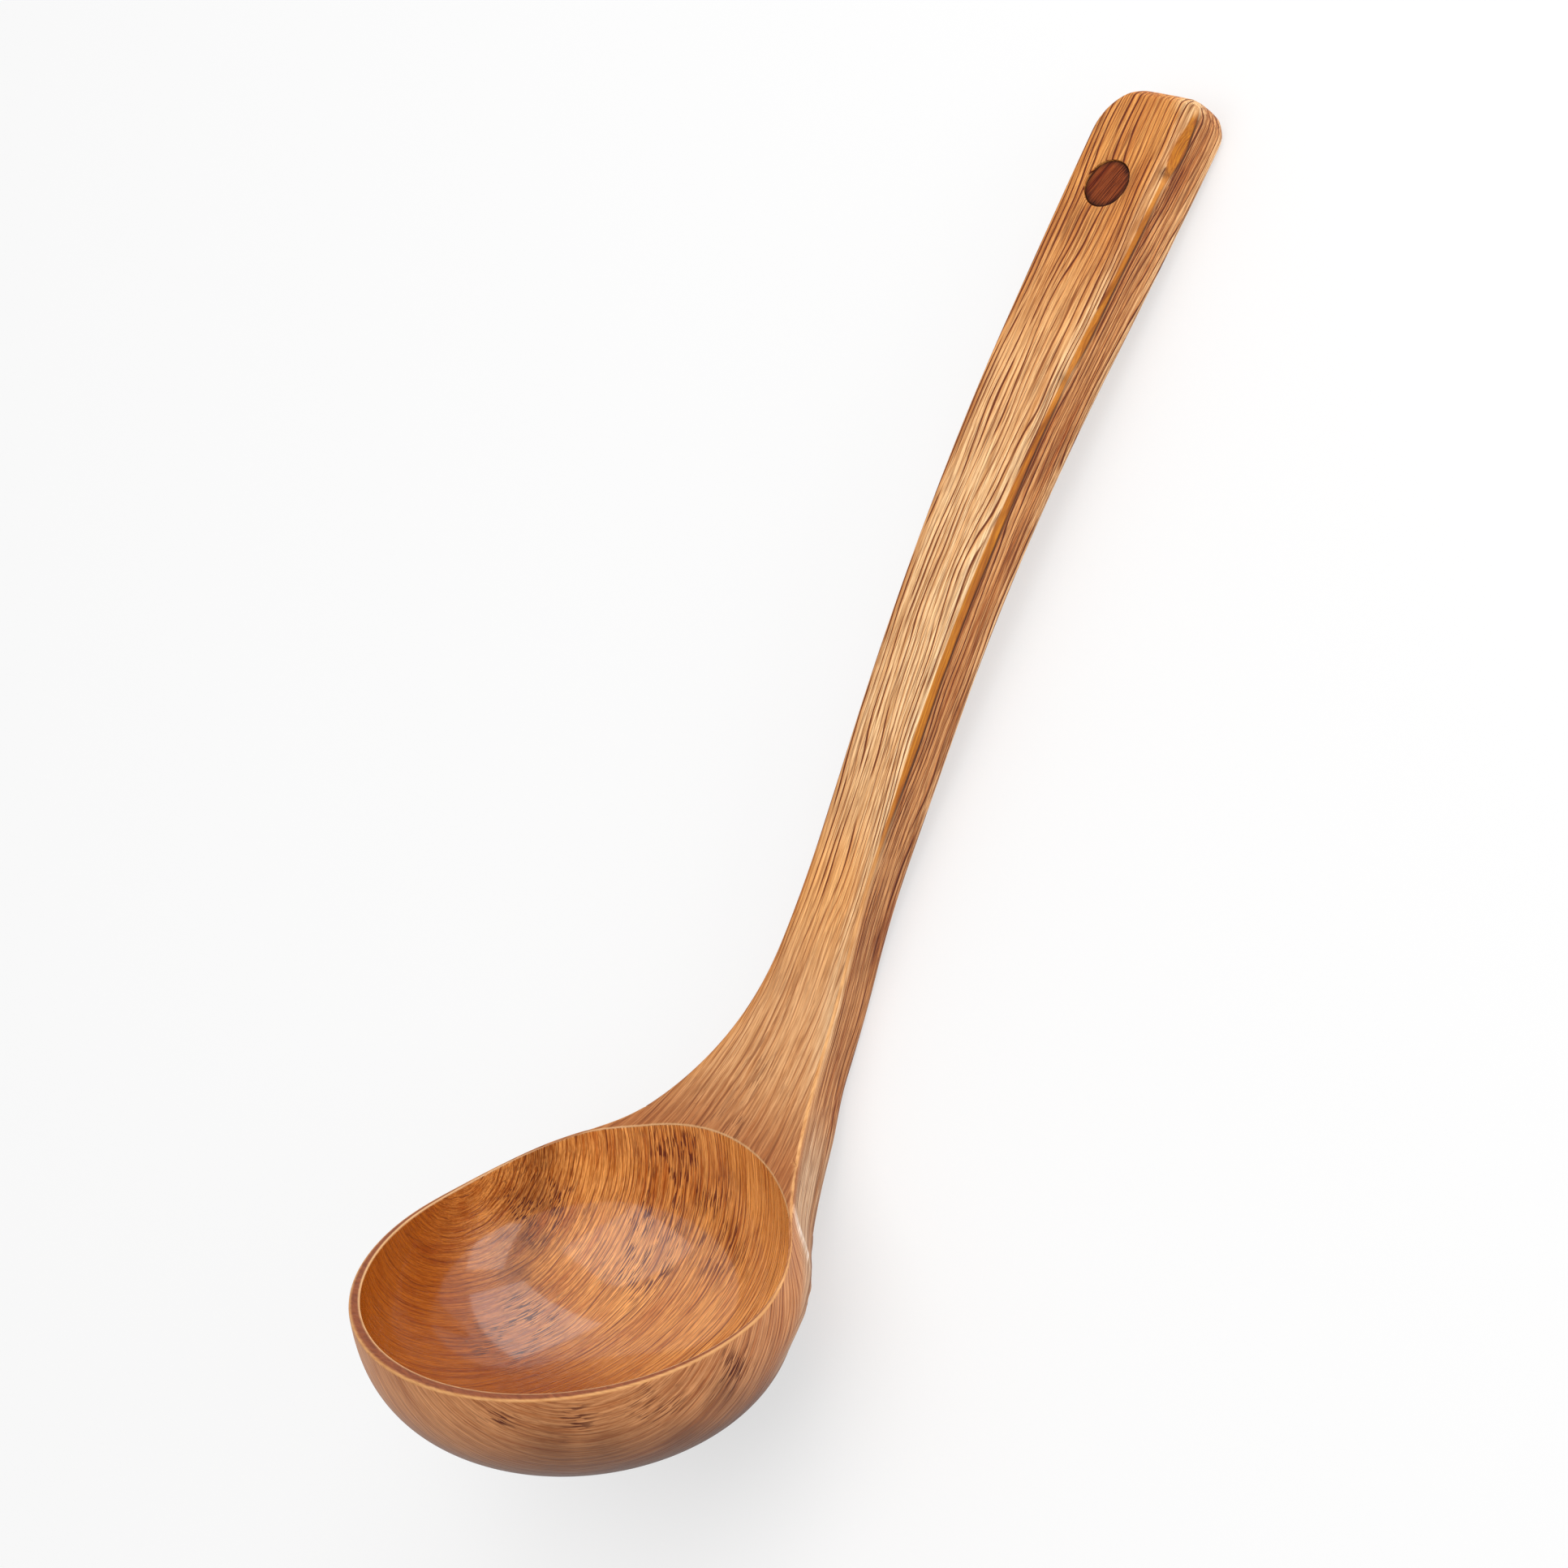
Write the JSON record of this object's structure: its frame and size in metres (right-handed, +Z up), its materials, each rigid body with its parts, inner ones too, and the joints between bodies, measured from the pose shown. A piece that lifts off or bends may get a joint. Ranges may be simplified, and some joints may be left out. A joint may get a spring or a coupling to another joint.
{
  "type": "wooden ladle",
  "caption": "Wooden soup ladle: a round hollowed bowl on a long swept handle with a dark plug near its tip, lying on its back.",
  "frame": {"origin": "on the table under the middle of the lying ladle's bounding box", "axes": "+X from the bowl towards the handle's tip, +Z up from the table, the plane Y = 0 halves the bowl and the handle's width"},
  "size_m": [0.316, 0.0904, 0.0796],
  "materials": {
    "honey_wood": "oiled and rubbed to a gloss inside the hollow, satin outside",
    "pale_wood": "oiled satin, open dark pores along the grain",
    "peg_wood": "oiled end grain",
    "dark_wood": "oiled dark hardwood, sanded flush"
  },
  "bodies": {
    "root": {"bowl": "honey_wood", "handle": "pale_wood", "joint_peg": "peg_wood", "hole_plug": "dark_wood"}
  },
  "joints": []
}
